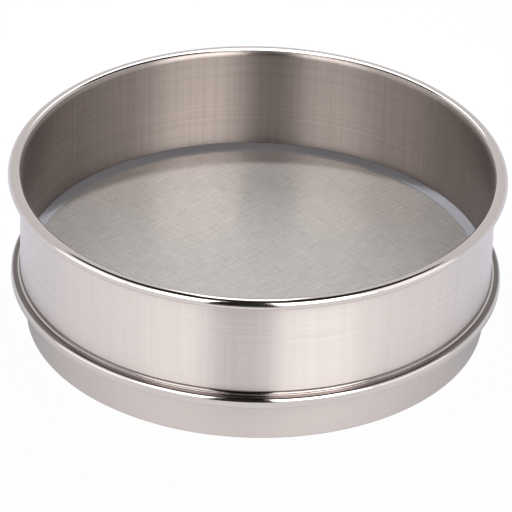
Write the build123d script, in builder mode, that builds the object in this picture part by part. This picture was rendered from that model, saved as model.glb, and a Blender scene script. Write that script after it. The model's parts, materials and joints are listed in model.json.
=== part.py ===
"""Laboratory test sieve, 200 mm nominal bore and 50 mm nominal depth, in stainless steel.

Millimetres, +Z up.  The origin is the centre of the skirt's lower edge, and Z is the axis.
A sheet-metal section is drawn as radius and height on Plane.XZ and turned about that axis:
its path runs along one face of the sheet, and the sheet lies on the right of the path.  Bends
are round on the sides that show, and one flat is cut across a side that is hidden inside the
metal or in the corner under the cloth.
"""

import os
from math import cos, floor, hypot, radians, sin, sqrt

from build123d import *

os.makedirs("parts", exist_ok=True)

# Frame, as a user would order it
bore_diameter = 200.0  # inside of the wall
nesting_gap = 1.9  # all round between the skirt and the bore of the sieve below
sieve_depth = 48.5  # from the cloth up to the top of the rim
skirt_depth = 18.1  # below the bead
sheet = 0.8  # both spun rings
tight_corner = 0.1  # inside a bend that is folded as tight as it goes

# Rolled rim
rim_overhang = 5.1  # beyond the outside of the wall
rim_height = 4.4
rim_inner_corner = 3.0
rim_outer_corner = 2.3
rim_lower_corner = 2.1
rim_edge_gap = 0.3  # between the rolled edge and the wall

# Seamed bead
bead_overhang = 3.9  # beyond the outside of the wall
bead_height = 5.4
bead_corner = 2.2
wall_bend = 1.6  # inside radius of the bend from wall to bead
skirt_bend = 3.4  # inside radius of the bend from skirt to seam
seam_gap = 0.2  # round the skirt's curl, and between the hem's edge and the skirt
curl_return = 2.4  # how far the skirt's curl comes back along the hem

# Wire cloth
cloth_thickness = 0.4
wire_pitch = 16.4
wire_width = 2.4
wire_rise = 0.3
wire_flank = 40.0  # slope of a raised wire's sides, in degrees
opening_width = 3.0
weave_angle = 45.0  # the warp's direction, from +X
weave_margin = 0.3  # from the seal's toe to the ends of the raised wires

# Seal in the corner of the wall and the cloth
seal_height = 1.5
seal_width = 4.4
seal_toe = 0.5  # height of its inner edge

# Levels
hem_bottom = skirt_depth
hem_top = hem_bottom + sheet
bead_top = hem_bottom + bead_height
cloth_top = bead_top - sheet
cloth_bottom = cloth_top - cloth_thickness
rim_top = cloth_top + sieve_depth
rim_bottom = rim_top - rim_height

# Radii from the axis
bore_radius = bore_diameter / 2
wall_radius = bore_radius + sheet
rim_radius = wall_radius + rim_overhang
bead_radius = wall_radius + bead_overhang
bead_inside = bead_radius - sheet
skirt_radius = bore_radius - nesting_gap
skirt_inside = skirt_radius - sheet
curl_radius = bead_inside - seam_gap
cloth_radius = bead_radius - bead_corner
seal_inside = bore_radius - seal_width
weave_radius = seal_inside - weave_margin


def corner_in(wanted, side):
    """The wanted corner radius, limited to just under half of a side with a corner at each end."""
    return min(wanted, 0.49 * side)


def flat_across(radius):
    """How far from a square corner a flat begins that touches the middle of the corner's arc."""
    return (2 - sqrt(2)) * radius


def other_face(points, radii):
    """The path of a sheet's other face, one gauge to the right of a path, and its corner radii."""
    runs = [(end - start).normalized() for start, end in zip(points, points[1:])]
    rights = [Vector(run.Y, -run.X) for run in runs]
    mitres = [(one + two) / (1 + one.dot(two)) for one, two in zip(rights, rights[1:])]
    sides = [rights[0], *mitres, rights[-1]]
    turns_left = [one.cross(two).Z > 0 for one, two in zip(runs, runs[1:])]
    other_points = [point + side * sheet for point, side in zip(points, sides)]
    other_radii = [
        radius + sheet if left else max(radius - sheet, tight_corner)
        for radius, left in zip(radii, turns_left)
    ]
    return other_points, other_radii


def with_flats(points, radii, hidden):
    """A face's path with each hidden corner cut by one flat, and the radii that are left."""
    path, kept_radii = [points[0]], []
    for before, corner, after, radius, is_hidden in zip(points, points[1:], points[2:], radii, hidden):
        if is_hidden:
            for towards in (before, after):
                path.append(corner + (towards - corner).normalized() * flat_across(radius))
                kept_radii.append(0)
        else:
            path.append(corner)
            kept_radii.append(radius)
    return [*path, points[-1]], kept_radii


def spin_ring(points, radii, hidden, other_hidden):
    """One spun ring of sheet: the section between its two faces, turned about the axis."""
    points = [Vector(*point) for point in points]
    other_points, other_radii = other_face(points, radii)
    points, radii = with_flats(points, radii, hidden)
    other_points, other_radii = with_flats(other_points, other_radii, other_hidden)
    with BuildPart() as ring:
        with BuildSketch(Plane.XZ):
            with BuildLine():
                face = FilletPolyline(*points, radius=radii)
                other = FilletPolyline(*other_points, radius=other_radii)
                Line(face @ 0, other @ 0)
                Line(face @ 1, other @ 1)
            make_face()
        revolve(axis=Axis.Z)
    return ring


# Upper frame: hem, bead, wall and rolled rim in one spun sheet.  The path is the face that is
# inside the bead, inside the wall and outside the rim.
nose_corner = corner_in(bead_corner - sheet, cloth_top - hem_top)
wall_corner = wall_bend + sheet
upper_frame = spin_ring(
    [
        (skirt_radius + seam_gap, hem_top),
        (bead_inside, hem_top),
        (bead_inside, cloth_top),
        (bore_radius, cloth_top),
        (bore_radius, rim_top),
        (rim_radius, rim_top),
        (rim_radius, rim_bottom),
        (wall_radius + rim_edge_gap, rim_bottom),
    ],
    [nose_corner, nose_corner, wall_corner, rim_inner_corner, rim_outer_corner, rim_lower_corner],
    hidden=[True, True, True, False, False, False],
    other_hidden=[False, False, False, True, True, True],
)

# Skirt: a ring whose upper edge turns out under the cloth and is curled down inside the bead,
# where it lies on the hem.  The path is the face inside the skirt and outside the curl.
curl_corner = corner_in(nose_corner, cloth_bottom - hem_top)
skirt = spin_ring(
    [
        (skirt_inside, 0),
        (skirt_inside, cloth_bottom),
        (curl_radius, cloth_bottom),
        (curl_radius, hem_top),
        (curl_radius - curl_return, hem_top),
    ],
    [skirt_bend + sheet, curl_corner, curl_corner],
    hidden=[True, True, True],
    other_hidden=[False, True, True],
)

# Seal: a fillet of resin with a low square toe, filling the corner back to the bend of the wall.
with BuildPart() as seal_fillet:
    with BuildSketch(Plane.XZ):
        with BuildLine():
            Polyline(
                (seal_inside, cloth_top),
                (bore_radius + flat_across(wall_corner), cloth_top),
                (bore_radius, cloth_top + flat_across(wall_corner)),
                (bore_radius, cloth_top + seal_height),
                (seal_inside, cloth_top + seal_toe),
                close=True,
            )
        make_face()
    revolve(axis=Axis.Z)

# Wire cloth: a wall with warp wires raised on its top, weft wires under it, and square openings.
warp = Vector(cos(radians(weave_angle)), sin(radians(weave_angle)), 0)
weft = Vector(-warp.Y, warp.X, 0)
wires_each_side = floor((weave_radius - wire_width) / wire_pitch)
wire_offsets = [(step + 0.5) * wire_pitch for step in range(-wires_each_side, wires_each_side)]
openings_each_side = floor(weave_radius / wire_pitch)
opening_steps = [step * wire_pitch for step in range(-openings_each_side, openings_each_side + 1)]
opening_centres = [
    (along, across)
    for along in opening_steps
    for across in opening_steps
    if hypot(along, across) + opening_width < weave_radius
]

with BuildSketch() as wire_profile:
    Trapezoid(wire_width, wire_rise, wire_flank, align=(Align.CENTER, Align.MIN))

with BuildPart() as wire_cloth:
    for across_wires in (
        Plane((0, 0, cloth_top), x_dir=weft, z_dir=warp),
        Plane((0, 0, cloth_bottom), x_dir=warp, z_dir=weft),
    ):
        with BuildSketch(across_wires):
            with Locations(*[(offset_across, 0) for offset_across in wire_offsets]):
                add(wire_profile.sketch)
        extrude(amount=weave_radius, both=True)
    with BuildSketch(Plane.XY.offset(cloth_bottom - wire_rise)):
        Circle(weave_radius)
    extrude(amount=cloth_thickness + 2 * wire_rise, mode=Mode.INTERSECT)
    with BuildSketch(Plane.XY.offset(cloth_bottom)):
        Circle(cloth_radius)
    extrude(amount=cloth_thickness)
    with BuildSketch(Plane((0, 0, cloth_bottom), x_dir=warp)):
        with Locations(*opening_centres):
            Rectangle(opening_width, opening_width)
    extrude(amount=cloth_thickness, mode=Mode.SUBTRACT)

for node, built in (
    ("upper_frame", upper_frame),
    ("skirt", skirt),
    ("wire_cloth", wire_cloth),
    ("seal_fillet", seal_fillet),
):
    built.part.label = node
    export_step(built.part, f"parts/{node}.step")
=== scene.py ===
"""Looks of a 200 mm laboratory test sieve: spun stainless rings, fine wire cloth and a resin seal."""
import json
from math import cos, pi, radians, sin, sqrt, tan

import bmesh
import bpy
from mathutils import Euler, Matrix, Vector


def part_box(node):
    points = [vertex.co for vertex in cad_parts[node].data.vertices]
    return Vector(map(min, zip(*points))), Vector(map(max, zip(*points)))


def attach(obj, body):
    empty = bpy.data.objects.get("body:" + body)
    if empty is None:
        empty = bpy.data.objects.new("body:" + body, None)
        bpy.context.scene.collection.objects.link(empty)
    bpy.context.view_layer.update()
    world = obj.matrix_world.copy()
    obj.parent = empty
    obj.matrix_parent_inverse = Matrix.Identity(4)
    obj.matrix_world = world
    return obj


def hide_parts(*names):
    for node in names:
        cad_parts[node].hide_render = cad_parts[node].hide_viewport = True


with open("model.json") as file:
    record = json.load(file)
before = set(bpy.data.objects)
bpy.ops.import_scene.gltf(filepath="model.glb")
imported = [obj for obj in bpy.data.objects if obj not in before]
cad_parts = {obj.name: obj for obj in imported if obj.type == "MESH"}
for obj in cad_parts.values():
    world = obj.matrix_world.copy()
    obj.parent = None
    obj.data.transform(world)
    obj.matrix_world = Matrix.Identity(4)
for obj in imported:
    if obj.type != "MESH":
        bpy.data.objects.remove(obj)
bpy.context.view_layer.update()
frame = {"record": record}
MM = 0.001

# --------------------------------------------------------------------------------------------
# Sizes, read from the frame or matched to it
# --------------------------------------------------------------------------------------------
mounts = {mount["name"]: mount for mount in frame["record"]["mounts"]}
frame_low, frame_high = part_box("upper_frame")
skirt_low, skirt_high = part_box("skirt")
cloth_low, cloth_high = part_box("wire_cloth")
seal_low, seal_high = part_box("seal_fillet")

SHEET = 0.8 * MM
RIM_HEIGHT = 4.4 * MM
BEAD_OVERHANG = 3.9 * MM  # beyond the outside of the wall
SEAL_WIDTH = 4.4 * MM
SEAL_TOE = 0.5 * MM  # height of its inner edge
SEAL_TOE_CORNER = 0.3 * MM
BORE_R = mounts["nesting_bore"]["dims"]["r_mm"] * MM
SKIRT_R = mounts["nesting_skirt"]["dims"]["r_mm"] * MM
WALL_R = BORE_R + SHEET
RIM_R = frame_high[0] - 0.002 * MM  # a hair inside the solid
RIM_TOP = frame_high[2]
RIM_BOTTOM = RIM_TOP - RIM_HEIGHT
HEM_BOTTOM = frame_low[2]
HEM_TOP = HEM_BOTTOM + SHEET
CLOTH_R = cloth_high[0]
CLOTH_TOP = seal_low[2]
CLOTH_BOTTOM = skirt_high[2]
BEAD_TOP = CLOTH_TOP + SHEET
BEAD_R = WALL_R + BEAD_OVERHANG
BEAD_INSIDE = BEAD_R - SHEET
CURL_R = skirt_high[0]
SEAL_TOP = seal_high[2]
SEAL_INSIDE = BORE_R - SEAL_WIDTH

RIM_INNER_CORNER = 3.0 * MM
RIM_OUTER_CORNER = 2.3 * MM
RIM_LOWER_CORNER = 2.1 * MM
RIM_EDGE_GAP = 0.3 * MM
BEAD_CORNER = 2.2 * MM
WALL_BEND = 1.6 * MM
SKIRT_BEND = 3.4 * MM
SEAM_GAP = 0.2 * MM
CURL_RETURN = 2.4 * MM

STEPS_ROUND = 360  # facets round a spun ring: one each degree
ARC_STEPS = 9  # facets round a bend that shows
SUPPORT = 0.35 * MM  # from a bend to the loop that keeps the flat beside it flat


# --------------------------------------------------------------------------------------------
# Materials
# --------------------------------------------------------------------------------------------
def linear(hex_colour):
    """An sRGB hex colour as linear RGBA."""
    channels = [int(hex_colour[i : i + 2], 16) / 255 for i in (1, 3, 5)]
    return [c / 12.92 if c <= 0.04045 else ((c + 0.055) / 1.055) ** 2.4 for c in channels] + [1.0]


def new_material(name):
    """A material with an empty node tree, its Principled shader and its output."""
    material = bpy.data.materials.new(name)
    material.use_nodes = True
    tree = material.node_tree
    tree.nodes.clear()
    output = tree.nodes.new("ShaderNodeOutputMaterial")
    shader = tree.nodes.new("ShaderNodeBsdfPrincipled")
    tree.links.new(shader.outputs["BSDF"], output.inputs["Surface"])
    return material, tree, shader


def add_node(tree, kind, settings=None, **inputs):
    """Adds a node.  Settings are its attributes; an input is a value or another node's output."""
    node = tree.nodes.new(kind)
    for key, value in (settings or {}).items():
        setattr(node, key, value)
    for key, value in inputs.items():
        socket = node.inputs[int(key[2:])] if key.startswith("in") and key[2:].isdigit() else node.inputs[key]
        if isinstance(value, bpy.types.NodeSocket):
            tree.links.new(value, socket)
        else:
            socket.default_value = value
    return node


def stretched_noise(tree, place, scale, detail, roughness):
    """Noise drawn out along the axes in which the scale is small."""
    stretched = add_node(tree, "ShaderNodeVectorMath", {"operation": "MULTIPLY"}, in0=place, in1=scale)
    noise = add_node(
        tree,
        "ShaderNodeTexNoise",
        in0=stretched.outputs[0],
        Scale=1.0,
        Detail=detail,
        Roughness=roughness,
    )
    return noise.outputs["Fac"]


def spun_steel(
    name, colour, roughness, anisotropy, ring_pitch, ring_depth, streak_pitch, streak_depth, mottle
):
    """Stainless sheet polished in a lathe, with rings round it and fainter marks along it.

    The rings spread a highlight up and down the wall, and the marks break it into narrow bands.
    """
    material, tree, shader = new_material(name)
    place = add_node(tree, "ShaderNodeTexCoord").outputs["Object"]
    ring_scale = Vector((0.006 / MM, 0.006 / MM, 1 / ring_pitch))
    rings = stretched_noise(tree, place, ring_scale, 3.0, 0.6)
    streak_scale = Vector((1 / streak_pitch, 1 / streak_pitch, 0.012 / MM))
    streaks = stretched_noise(tree, place, streak_scale, 3.0, 0.55)
    both = add_node(
        tree,
        "ShaderNodeMath",
        {"operation": "MULTIPLY_ADD"},
        in0=streaks,
        in1=streak_depth / ring_depth,
        in2=rings,
    )
    bump = add_node(tree, "ShaderNodeBump", Strength=1.0, Distance=ring_depth, Height=both.outputs[0])
    grain = add_node(tree, "ShaderNodeMath", {"operation": "ADD"}, in0=streaks, in1=rings)
    worn = add_node(
        tree,
        "ShaderNodeMapRange",
        in0=rings,
        in1=0.3,
        in2=0.7,
        in3=roughness * 0.85,
        in4=roughness * 1.15,
    )
    shade = add_node(tree, "ShaderNodeMapRange", in0=grain.outputs[0], in1=0.8, in2=1.2, in3=0.0, in4=1.0)
    tint = add_node(tree, "ShaderNodeMix", {"data_type": "RGBA"}, Factor=shade.outputs[0])
    tint.inputs[6].default_value = linear(colour)
    tint.inputs[7].default_value = [channel * (1 - mottle) for channel in linear(colour)[:3]] + [1.0]
    tree.links.new(tint.outputs[2], shader.inputs["Base Color"])
    tree.links.new(worn.outputs[0], shader.inputs["Roughness"])
    tree.links.new(bump.outputs["Normal"], shader.inputs["Normal"])
    shader.inputs["Metallic"].default_value = 1.0
    shader.inputs["Anisotropic"].default_value = anisotropy
    shader.inputs["Anisotropic Rotation"].default_value = 0.25
    tangent = add_node(tree, "ShaderNodeTangent", {"direction_type": "RADIAL", "axis": "Z"})
    tree.links.new(tangent.outputs[0], shader.inputs["Tangent"])
    return material


def polished_steel():
    """Stainless rolled and buffed bright: it mirrors the lamps in narrow bands."""
    material, tree, shader = new_material("buffed_stainless_steel")
    place = add_node(tree, "ShaderNodeTexCoord").outputs["Object"]
    ripple = add_node(tree, "ShaderNodeTexNoise", in0=place, Scale=0.05 / MM, Detail=2.0)
    bump = add_node(tree, "ShaderNodeBump", Strength=1.0, Distance=0.01 * MM, Height=ripple.outputs["Fac"])
    wear = add_node(
        tree, "ShaderNodeMapRange", in0=ripple.outputs["Fac"], in1=0.3, in2=0.7, in3=0.05, in4=0.1
    )
    tree.links.new(wear.outputs[0], shader.inputs["Roughness"])
    tree.links.new(bump.outputs["Normal"], shader.inputs["Normal"])
    shader.inputs["Base Color"].default_value = linear("#D2CAC7")
    shader.inputs["Metallic"].default_value = 1.0
    return material


def seam_steel():
    """The same sheet where the seam is rolled: bright on its nose, with a painted highlight line by the wall.

    The darker tint between them is a painted reflection of what the groove mirrors there.
    """
    material, tree, shader = new_material("rolled_seam_stainless_steel")
    place = add_node(tree, "ShaderNodeTexCoord").outputs["Object"]
    parts = add_node(tree, "ShaderNodeSeparateXYZ", in0=place)
    flat = add_node(
        tree, "ShaderNodeVectorMath", {"operation": "MULTIPLY"}, in0=place, in1=Vector((1, 1, 0))
    )
    radius = add_node(tree, "ShaderNodeVectorMath", {"operation": "LENGTH"}, in0=flat.outputs[0])
    outer = add_node(
        tree,
        "ShaderNodeMapRange",
        in0=radius.outputs["Value"],
        in1=BEAD_R - 0.9 * MM,
        in2=BEAD_R - 0.3 * MM,
        in3=0.0,
        in4=1.0,
    )
    under = add_node(
        tree,
        "ShaderNodeMapRange",
        in0=parts.outputs["Z"],
        in1=BEAD_TOP - 1.0 * MM,
        in2=BEAD_TOP - 1.9 * MM,
        in3=0.0,
        in4=1.0,
    )
    outside_painted_reflection = add_node(
        tree, "ShaderNodeMath", {"operation": "MAXIMUM"}, in0=outer.outputs[0], in1=under.outputs[0]
    )
    # A painted highlight: a thin line by the wall keeps the plain steel colour inside the dark band.
    painted_highlight_line = add_node(
        tree,
        "ShaderNodeMath",
        {"operation": "COMPARE"},
        in0=radius.outputs["Value"],
        in1=WALL_R + 0.85 * MM,
        in2=0.3 * MM,
    )
    plain_or_painted_highlight = add_node(
        tree, "ShaderNodeMath", {"operation": "MAXIMUM"}, in0=outside_painted_reflection.outputs[0], in1=painted_highlight_line.outputs[0]
    )
    # Painted reflection: the dark tint #77706E in the groove stands for the dark that the groove mirrors.
    tint = add_node(tree, "ShaderNodeMix", {"data_type": "RGBA"}, Factor=plain_or_painted_highlight.outputs[0])
    tint.inputs[6].default_value = linear("#77706E")
    tint.inputs[7].default_value = linear("#CEC6C3")
    ripple = add_node(tree, "ShaderNodeTexNoise", in0=place, Scale=0.05 / MM, Detail=2.0)
    bump = add_node(tree, "ShaderNodeBump", Strength=1.0, Distance=0.01 * MM, Height=ripple.outputs["Fac"])
    wear = add_node(
        tree, "ShaderNodeMapRange", in0=ripple.outputs["Fac"], in1=0.3, in2=0.7, in3=0.07, in4=0.13
    )
    tree.links.new(tint.outputs[2], shader.inputs["Base Color"])
    tree.links.new(wear.outputs[0], shader.inputs["Roughness"])
    tree.links.new(bump.outputs["Normal"], shader.inputs["Normal"])
    shader.inputs["Metallic"].default_value = 1.0
    return material


def woven_cloth():
    """Stainless wire cloth, woven far finer than shows: a grey sheen with faint lines both ways.

    The real pitch is taken to be about 0.1 mm.  The weave is drawn 0.5 mm apart, the finest that
    shows.  The diffuse share stands for light scattered between the wires.
    """
    drawn_pitch, wire_length = 0.5 * MM, 12.5 * MM
    material, tree, shader = new_material("woven_stainless_wire_cloth")
    place = add_node(tree, "ShaderNodeTexCoord").outputs["Object"]
    turned = add_node(tree, "ShaderNodeMapping", Rotation=(0, 0, radians(45)), Vector=place).outputs[0]
    heights = []
    for across, along in ((1 / drawn_pitch, 1 / wire_length), (1 / wire_length, 1 / drawn_pitch)):
        heights.append(stretched_noise(tree, turned, Vector((across, along, 1)), 2.0, 0.6))
    grain = add_node(tree, "ShaderNodeTexNoise", in0=place, Scale=1 / drawn_pitch, Detail=2.0, Roughness=0.6)
    crossed = add_node(tree, "ShaderNodeMath", {"operation": "ADD"}, in0=heights[0], in1=heights[1])
    weave = add_node(
        tree, "ShaderNodeMath", {"operation": "ADD"}, in0=crossed.outputs[0], in1=grain.outputs["Fac"]
    )
    bump = add_node(tree, "ShaderNodeBump", Strength=1.0, Distance=0.05 * MM, Height=weave.outputs[0])
    shade = add_node(
        tree, "ShaderNodeMapRange", in0=weave.outputs[0], in1=1.0, in2=2.0, in3=0.0, in4=1.0
    )
    tint = add_node(tree, "ShaderNodeMix", {"data_type": "RGBA"}, Factor=shade.outputs[0])
    tint.inputs[6].default_value = linear("#A19E9B")
    tint.inputs[7].default_value = linear("#D2CECB")
    tree.links.new(tint.outputs[2], shader.inputs["Base Color"])
    tree.links.new(bump.outputs["Normal"], shader.inputs["Normal"])
    shader.inputs["Metallic"].default_value = 0.65
    shader.inputs["Roughness"].default_value = 0.38
    return material


def seal_resin():
    """Poured epoxy, smooth and a little cloudy: soft blue-grey with light along its edges."""
    material, tree, shader = new_material("poured_grey_epoxy")
    place = add_node(tree, "ShaderNodeTexCoord").outputs["Object"]
    cloud = add_node(tree, "ShaderNodeTexNoise", in0=place, Scale=0.08 / MM, Detail=3.0)
    bump = add_node(tree, "ShaderNodeBump", Strength=1.0, Distance=0.02 * MM, Height=cloud.outputs["Fac"])
    tint = add_node(tree, "ShaderNodeMix", {"data_type": "RGBA"}, Factor=cloud.outputs["Fac"])
    tint.inputs[6].default_value = linear("#88898F")
    tint.inputs[7].default_value = linear("#94959C")
    tree.links.new(tint.outputs[2], shader.inputs["Base Color"])
    tree.links.new(bump.outputs["Normal"], shader.inputs["Normal"])
    shader.inputs["Roughness"].default_value = 0.45
    return material


# --------------------------------------------------------------------------------------------
# Pieces
# --------------------------------------------------------------------------------------------
def add_piece(name, mesh_data, materials, nodes):
    """An object at the origin that rides on the sieve and stands for a solid of the frame."""
    mesh = bpy.data.meshes.new(name)
    mesh_data.to_mesh(mesh)
    mesh_data.free()
    for polygon in mesh.polygons:
        polygon.use_smooth = True
    for material in materials:
        mesh.materials.append(material)
    piece = bpy.data.objects.new(name, mesh)
    bpy.context.scene.collection.objects.link(piece)
    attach(piece, "root")
    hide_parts(*nodes)
    return piece


def section_loop(corners):
    """A closed section in the XZ plane.  A corner is (radius, height, cut, facets).

    A cut corner is rounded by that many facets, or crossed by one flat.
    """
    section = bmesh.new()
    verts = []
    for (r, z, cut, _), (next_r, next_z, next_cut, _) in zip(corners, corners[1:] + corners[:1]):
        here, there = Vector((r, 0, z)), Vector((next_r, 0, next_z))
        along = there - here
        verts.append(section.verts.new(here))
        spare = along.length - cut - next_cut
        along.normalize()
        if spare > 6 * SUPPORT:
            verts.append(section.verts.new(here + along * (cut + SUPPORT)))
            verts.append(section.verts.new(there - along * (next_cut + SUPPORT)))
    face = section.faces.new(verts)
    section.verts.ensure_lookup_table()
    cuts = {}
    for r, z, cut, facets in corners:
        if cut:
            cuts.setdefault((cut, facets), []).append((r, z))
    for (cut, facets), places in cuts.items():
        chosen = [
            vert
            for vert in section.verts
            if any(abs(vert.co.x - r) < 1e-7 and abs(vert.co.z - z) < 1e-7 for r, z in places)
        ]
        bmesh.ops.bevel(
            section,
            geom=chosen,
            offset=cut,
            offset_type="OFFSET",
            segments=facets,
            profile=0.5,
            affect="VERTICES",
            material=-1,
        )
    bmesh.ops.delete(section, geom=section.faces[:], context="FACES_ONLY")
    return section


def spin_section(corners):
    """The section turned once round the axis, closed, with its faces pointing outwards."""
    ring = section_loop(corners)
    bmesh.ops.spin(
        ring,
        geom=ring.verts[:] + ring.edges[:],
        cent=(0, 0, 0),
        axis=(0, 0, 1),
        angle=2 * pi,
        steps=STEPS_ROUND,
        use_merge=True,
    )
    bmesh.ops.remove_doubles(ring, verts=ring.verts[:], dist=1e-7)
    bmesh.ops.recalc_face_normals(ring, faces=ring.faces[:])
    return ring


def flat_cut(radius):
    """Where one flat across a square corner begins, if it touches the middle of the corner's arc."""
    return (2 - sqrt(2)) * radius


def make_upper_frame(wall_steel, inner_steel, bright_steel, bead_steel):
    """Hem, bead, wall and rolled rim: one sheet, satin on the wall and buffed on the rolls."""
    nose = min(BEAD_CORNER - SHEET, 0.49 * (CLOTH_TOP - HEM_TOP))
    ring = spin_section(
        [
            (SKIRT_R + SEAM_GAP, HEM_TOP, 0, 0),
            (BEAD_INSIDE, HEM_TOP, flat_cut(nose), 1),
            (BEAD_INSIDE, CLOTH_TOP, flat_cut(nose), 1),
            (BORE_R, CLOTH_TOP, flat_cut(WALL_BEND + SHEET), 1),
            (BORE_R, RIM_TOP, RIM_INNER_CORNER, ARC_STEPS),
            (RIM_R, RIM_TOP, RIM_OUTER_CORNER, ARC_STEPS),
            (RIM_R, RIM_BOTTOM, RIM_LOWER_CORNER, ARC_STEPS),
            (WALL_R + RIM_EDGE_GAP, RIM_BOTTOM, 0, 0),
            (WALL_R + RIM_EDGE_GAP, RIM_BOTTOM + SHEET, 0, 0),
            (RIM_R - SHEET, RIM_BOTTOM + SHEET, flat_cut(RIM_LOWER_CORNER - SHEET), 1),
            (RIM_R - SHEET, RIM_TOP - SHEET, flat_cut(RIM_OUTER_CORNER - SHEET), 1),
            (WALL_R, RIM_TOP - SHEET, flat_cut(RIM_INNER_CORNER - SHEET), 1),
            (WALL_R, BEAD_TOP, WALL_BEND, ARC_STEPS),
            (BEAD_R, BEAD_TOP, nose + SHEET, ARC_STEPS),
            (BEAD_R, HEM_BOTTOM, nose + SHEET, ARC_STEPS),
            (SKIRT_R + SEAM_GAP, HEM_BOTTOM, 0, 0),
        ]
    )
    wall_to = RIM_TOP - RIM_INNER_CORNER
    rim_from = wall_to - 5 * MM
    brushed_to, brushed_r = RIM_TOP - 0.85 * MM, BORE_R + 0.85 * MM  # the brush reaches into the bend
    margin = 0.05 * MM
    for face in ring.faces:
        middle = face.calc_center_median()
        radius = middle.xy.length
        inner_r = BORE_R if middle.z < wall_to else brushed_r
        if radius < inner_r + margin and middle.z < brushed_to:
            face.material_index = 1
        elif radius < WALL_R + margin and BEAD_TOP + WALL_BEND < middle.z < wall_to:
            face.material_index = 0
        elif middle.z > rim_from:
            face.material_index = 2
        else:
            face.material_index = 3
    materials = [wall_steel, inner_steel, bright_steel, bead_steel]
    return add_piece("spun_frame", ring, materials, ["upper_frame"])


def make_skirt(skirt_steel):
    """The ring below the bead, with its upper edge curled into the seam."""
    nose = min(BEAD_CORNER - SHEET, 0.49 * (CLOTH_TOP - HEM_TOP))
    curl = min(nose, 0.49 * (CLOTH_BOTTOM - HEM_TOP))
    inner_curl = max(curl - SHEET, 0.1 * MM)
    ring = spin_section(
        [
            (SKIRT_R - SHEET, 0, 0, 0),
            (SKIRT_R - SHEET, CLOTH_BOTTOM, flat_cut(SKIRT_BEND + SHEET), 1),
            (CURL_R, CLOTH_BOTTOM, flat_cut(curl), 1),
            (CURL_R, HEM_TOP, flat_cut(curl), 1),
            (CURL_R - CURL_RETURN, HEM_TOP, 0, 0),
            (CURL_R - CURL_RETURN, HEM_TOP + SHEET, 0, 0),
            (CURL_R - SHEET, HEM_TOP + SHEET, flat_cut(inner_curl), 1),
            (CURL_R - SHEET, CLOTH_BOTTOM - SHEET, flat_cut(inner_curl), 1),
            (SKIRT_R, CLOTH_BOTTOM - SHEET, SKIRT_BEND, ARC_STEPS),
            (SKIRT_R, 0, 0, 0),
        ]
    )
    return add_piece("spun_skirt", ring, [skirt_steel], ["skirt"])


def make_seal(resin):
    """A poured fillet with a rolled toe, lying in the corner of the wall and the cloth."""
    ring = spin_section(
        [
            (SEAL_INSIDE, CLOTH_TOP, 0, 0),
            (BORE_R + flat_cut(WALL_BEND + SHEET), CLOTH_TOP, 0, 0),
            (BORE_R, CLOTH_TOP + flat_cut(WALL_BEND + SHEET), 0, 0),
            (BORE_R, SEAL_TOP, 0, 0),
            (SEAL_INSIDE, CLOTH_TOP + SEAL_TOE, SEAL_TOE_CORNER, 4),
        ]
    )
    return add_piece("poured_seal", ring, [resin], ["seal_fillet"])


def make_cloth(cloth_steel):
    """The wire cloth: one sheet with its edge in the seam, woven too fine for gaps to show."""
    disc = bmesh.new()
    for z in (CLOTH_BOTTOM, CLOTH_TOP):
        bmesh.ops.create_circle(
            disc, cap_ends=True, radius=CLOTH_R, segments=STEPS_ROUND, matrix=Matrix.Translation((0, 0, z))
        )
    edges = [edge for edge in disc.edges if edge.is_boundary]
    bmesh.ops.bridge_loops(disc, edges=edges)
    bmesh.ops.recalc_face_normals(disc, faces=disc.faces[:])
    piece = add_piece("fine_wire_cloth", disc, [cloth_steel], ["wire_cloth"])
    for polygon in piece.data.polygons:
        polygon.use_smooth = False
    return piece


wall_steel = spun_steel(
    "lathe_brushed_stainless_steel",
    "#DCD3D0",
    roughness=0.32,
    anisotropy=0.93,
    ring_pitch=0.6 * MM,
    ring_depth=0.002 * MM,
    streak_pitch=1.4 * MM,
    streak_depth=0.005 * MM,
    mottle=0.06,
)
# The bore's tint is darker than the wall's: painted shade for what the inside of a deep ring mirrors, though
# it is the same steel.
inner_steel = spun_steel(
    "lathe_brushed_stainless_bore",
    "#998F8A",
    roughness=0.345,
    anisotropy=0.95,
    ring_pitch=0.7 * MM,
    ring_depth=0.003 * MM,
    streak_pitch=1.4 * MM,
    streak_depth=0.012 * MM,
    mottle=0.14,
)
skirt_steel = spun_steel(
    "fine_satin_stainless_steel",
    "#CEC5C2",
    roughness=0.36,
    anisotropy=0.6,
    ring_pitch=0.5 * MM,
    ring_depth=0.001 * MM,
    streak_pitch=2.5 * MM,
    streak_depth=0.001 * MM,
    mottle=0.03,
)
make_upper_frame(wall_steel, inner_steel, polished_steel(), seam_steel())
make_skirt(skirt_steel)
make_seal(seal_resin())
make_cloth(woven_cloth())


# --------------------------------------------------------------------------------------------
# Studio: floor, reflected room, lamps and camera
# --------------------------------------------------------------------------------------------
def backdrop_mask(tree):
    """1 for what the camera sees itself, or in metal or through glass, and 0 for light on things."""
    rays = add_node(tree, "ShaderNodeLightPath")
    seen = add_node(
        tree,
        "ShaderNodeMath",
        {"operation": "MAXIMUM"},
        in0=rays.outputs["Is Camera Ray"],
        in1=rays.outputs["Is Glossy Ray"],
    )
    return add_node(
        tree,
        "ShaderNodeMath",
        {"operation": "MAXIMUM"},
        in0=seen.outputs[0],
        in1=rays.outputs["Is Transmission Ray"],
    ).outputs[0]


def make_world():
    """White as a backdrop, and a plain soft light on everything."""
    world = bpy.data.worlds.new("studio")
    bpy.context.scene.world = world
    world.use_nodes = True
    tree = world.node_tree
    tree.nodes.clear()
    output = tree.nodes.new("ShaderNodeOutputWorld")
    strength = add_node(
        tree, "ShaderNodeMapRange", in0=backdrop_mask(tree), in1=0.0, in2=1.0, in3=0.2, in4=1.0
    )
    background = add_node(tree, "ShaderNodeBackground", Color=linear("#FFFFFF"))
    tree.links.new(strength.outputs[0], background.inputs["Strength"])
    tree.links.new(background.outputs[0], output.inputs["Surface"])


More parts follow.
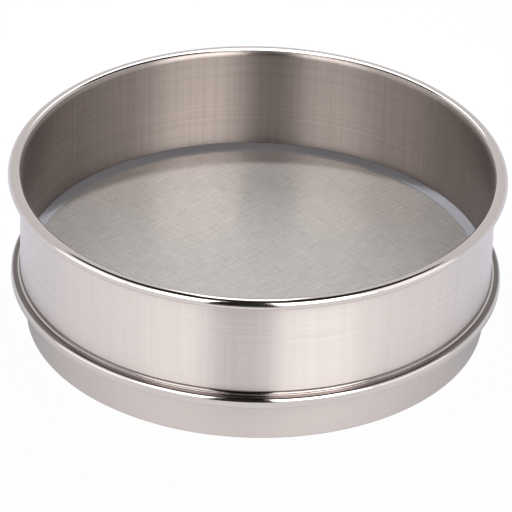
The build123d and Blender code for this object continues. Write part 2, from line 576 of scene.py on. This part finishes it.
def make_floor():
    """A white sweep that keeps a faint contact shadow, with a painted shadow near the sieve where metal
    mirrors it.
    """
    size, glow = 12.0, 0.97
    # Painted shadow: what metal mirrors of the floor is darker near the sieve, behind and beside it.
    shade_from, shade_full, darkest = 0.145, 0.105, 0.55  # only what metal mirrors is darker near it
    sheet = bmesh.new()
    bmesh.ops.create_grid(sheet, x_segments=1, y_segments=1, size=size)
    mesh = bpy.data.meshes.new("floor")
    sheet.to_mesh(mesh)
    sheet.free()
    floor = bpy.data.objects.new("floor", mesh)
    bpy.context.scene.collection.objects.link(floor)
    material, tree, shader = new_material("white_paper_sweep")
    shader.inputs["Base Color"].default_value = linear("#F2F2F2")
    shader.inputs["Roughness"].default_value = 0.9
    place = add_node(tree, "ShaderNodeTexCoord").outputs["Object"]
    parts = add_node(tree, "ShaderNodeSeparateXYZ", in0=place)
    away = add_node(tree, "ShaderNodeVectorMath", {"operation": "LENGTH"}, in0=place)
    near = add_node(
        tree, "ShaderNodeMapRange", in0=away.outputs["Value"], in1=shade_from, in2=shade_full, in3=0.0, in4=1.0
    )
    behind = add_node(
        tree, "ShaderNodeMapRange", in0=parts.outputs["Y"], in1=-0.1, in2=0.0, in3=0.0, in4=darkest
    )
    painted_floor_shadow = add_node(
        tree, "ShaderNodeMath", {"operation": "MULTIPLY"}, in0=near.outputs[0], in1=behind.outputs[0]
    )
    rays = add_node(tree, "ShaderNodeLightPath")
    mirrored_painted_shadow = add_node(
        tree,
        "ShaderNodeMath",
        {"operation": "MULTIPLY"},
        in0=painted_floor_shadow.outputs[0],
        in1=rays.outputs["Is Glossy Ray"],
    )
    level = add_node(tree, "ShaderNodeMath", {"operation": "SUBTRACT"}, in0=1.0, in1=mirrored_painted_shadow.outputs[0])
    cool = add_node(
        tree, "ShaderNodeMapRange", in0=parts.outputs["Y"], in1=-0.1, in2=0.1, in3=0.0, in4=1.0
    )
    hue = add_node(tree, "ShaderNodeMix", {"data_type": "RGBA"}, Factor=cool.outputs[0])
    hue.inputs[6].default_value = linear("#FFFFFF")
    hue.inputs[7].default_value = linear("#EEF1FF")
    camera_hue = add_node(
        tree, "ShaderNodeMix", {"data_type": "RGBA"}, Factor=rays.outputs["Is Camera Ray"]
    )
    tree.links.new(hue.outputs[2], camera_hue.inputs[6])
    camera_hue.inputs[7].default_value = linear("#FFFFFF")
    glow_node = add_node(
        tree, "ShaderNodeEmission", Color=camera_hue.outputs[2], Strength=level.outputs[0]
    )
    amount = add_node(tree, "ShaderNodeMath", {"operation": "MULTIPLY"}, in0=backdrop_mask(tree), in1=glow)
    mix = add_node(tree, "ShaderNodeMixShader", in0=amount.outputs[0])
    tree.links.new(shader.outputs[0], mix.inputs[1])
    tree.links.new(glow_node.outputs[0], mix.inputs[2])
    output = next(node for node in tree.nodes if node.type == "OUTPUT_MATERIAL")
    tree.links.new(mix.outputs[0], output.inputs["Surface"])
    mesh.materials.append(material)


def direction(azimuth, elevation):
    """A unit vector.  Azimuth 0 is the camera's side, -Y, and grows towards +X."""
    a, e = radians(azimuth), radians(elevation)
    return Vector((sin(a) * cos(e), -cos(a) * cos(e), sin(e)))


def finish_card(name, card, level):
    """The card's object: it shines at its level, and the camera itself doesn't see it."""
    mesh = bpy.data.meshes.new(name)
    card.to_mesh(mesh)
    card.free()
    card_object = bpy.data.objects.new(name, mesh)
    bpy.context.scene.collection.objects.link(card_object)
    material, tree, shader = new_material("studio_card")
    shader.inputs["Base Color"].default_value = linear("#000000")
    shader.inputs["Specular IOR Level"].default_value = 0.0
    shader.inputs["Emission Color"].default_value = linear("#FFFFFF")
    shader.inputs["Emission Strength"].default_value = level
    mesh.materials.append(material)
    card_object.visible_camera = False
    return card_object


def make_card(name, azimuths, elevations, distance, level):
    """A grey or black card on part of a dome, at the level that the metal mirrors there."""
    steps = 24
    card = bmesh.new()
    rows = []
    for i in range(steps + 1):
        azimuth = azimuths[0] + (azimuths[1] - azimuths[0]) * i / steps
        rows.append(card.verts.new(direction(azimuth, elevations[0]) * distance))
    edges = [card.edges.new(pair) for pair in zip(rows, rows[1:])]
    for j in range(1, steps + 1):
        elevation = elevations[0] + (elevations[1] - elevations[0]) * j / steps
        grown = bmesh.ops.extrude_edge_only(card, edges=edges)["geom"]
        edges = [item for item in grown if isinstance(item, bmesh.types.BMEdge)]
        for vert in (item for item in grown if isinstance(item, bmesh.types.BMVert)):
            flat = vert.co.copy()
            flat.z = 0
            flat.normalize()
            vert.co = (flat * cos(radians(elevation)) + Vector((0, 0, sin(radians(elevation))))) * distance
    return finish_card(name, card, level)


def make_flat_card(name, corners, level):
    """A flat card at a level that the metal mirrors, given by its four corners."""
    card = bmesh.new()
    card.faces.new([card.verts.new(corner) for corner in corners])
    return finish_card(name, card, level)


def make_round_card(name, azimuth, elevation, distance, spread, level):
    """A round card that faces the sieve and spans this many degrees from its middle to its edge."""
    place = direction(azimuth, elevation) * distance
    turn = (-place).to_track_quat("Z", "Y").to_matrix().to_4x4()
    card = bmesh.new()
    bmesh.ops.create_circle(
        card,
        cap_ends=True,
        radius=distance * tan(radians(spread)),
        segments=64,
        matrix=Matrix.Translation(place) @ turn,
    )
    return finish_card(name, card, level)


def make_softbox(name, azimuth, elevation, distance, width, height, power):
    """A soft rectangular lamp aimed at the sieve."""
    lamp = bpy.data.lights.new(name, "AREA")
    lamp.shape = "RECTANGLE"
    lamp.size, lamp.size_y = width, height
    lamp.energy = power
    place = direction(azimuth, elevation) * distance
    holder = bpy.data.objects.new(name, lamp)
    holder.location = place
    holder.rotation_euler = (-place).to_track_quat("-Z", "Y").to_euler()
    holder.visible_camera = False
    bpy.context.scene.collection.objects.link(holder)
    return holder


def make_camera():
    """The viewing angle: 32 degrees down from a long lens, with a slight roll."""
    image_width, focal_px = 512, 5030
    elevation, roll = radians(32.09), radians(1.45)
    distance, target = 2152.3 * MM, Vector((0, 0, 27.38 * MM))
    camera = bpy.data.cameras.new("camera")
    camera.sensor_width = 36.0
    camera.lens = camera.sensor_width * focal_px / image_width
    camera.dof.use_dof = False
    camera.clip_end = 50
    holder = bpy.data.objects.new("camera", camera)
    holder.location = target + Vector((0, -cos(elevation), sin(elevation))) * distance
    turn = Euler((pi / 2 - elevation, 0, 0)).to_matrix() @ Euler((0, 0, roll)).to_matrix()
    holder.rotation_euler = turn.to_euler()
    bpy.context.scene.collection.objects.link(holder)
    bpy.context.scene.camera = holder


bpy.context.scene.view_settings.view_transform = "Standard"
make_world()
make_floor()
make_round_card("ceiling_card", 180, 72, 3.8, 36, 0.02)
make_card("camera_side_card", (-19, 9), (1, 75), 2.8, 0.02)
make_card("right_near_card", (56, 95), (5, 50), 4.0, 1.5)
make_card("left_near_card", (-95, -57), (5, 50), 4.0, 1.7)
make_card("right_side_card", (95, 180), (8, 50), 4.0, 0.8)
make_card("left_side_card", (-180, -95), (8, 50), 4.0, 0.8)
strip_height = RIM_TOP + 260 * MM
make_flat_card(
    "overhead_strip",
    [(x * MM, y * MM, strip_height) for x, y in ((-42, 70), (26, 70), (26, 360), (-42, 360))],
    3.0,
)
for name, azimuths, level in (("right_softbox", (10, 54), 7.0), ("left_softbox", (-56, -20), 5.1)):
    softbox = make_card(name, azimuths, (20, 58), 2.9, level)
    softbox.visible_diffuse = False
make_flat_card(
    "camera_floor_card",
    [(-0.1, -0.3, 0.002), (-0.9, -2.7, 0.002), (0.42, -2.7, 0.002), (0.05, -0.3, 0.002)],
    0.1,
)
overhead = make_softbox("overhead_lamp", 190, 59.5, 0.345, 0.02, 0.02, 0.98)
overhead.visible_glossy = False
make_camera()
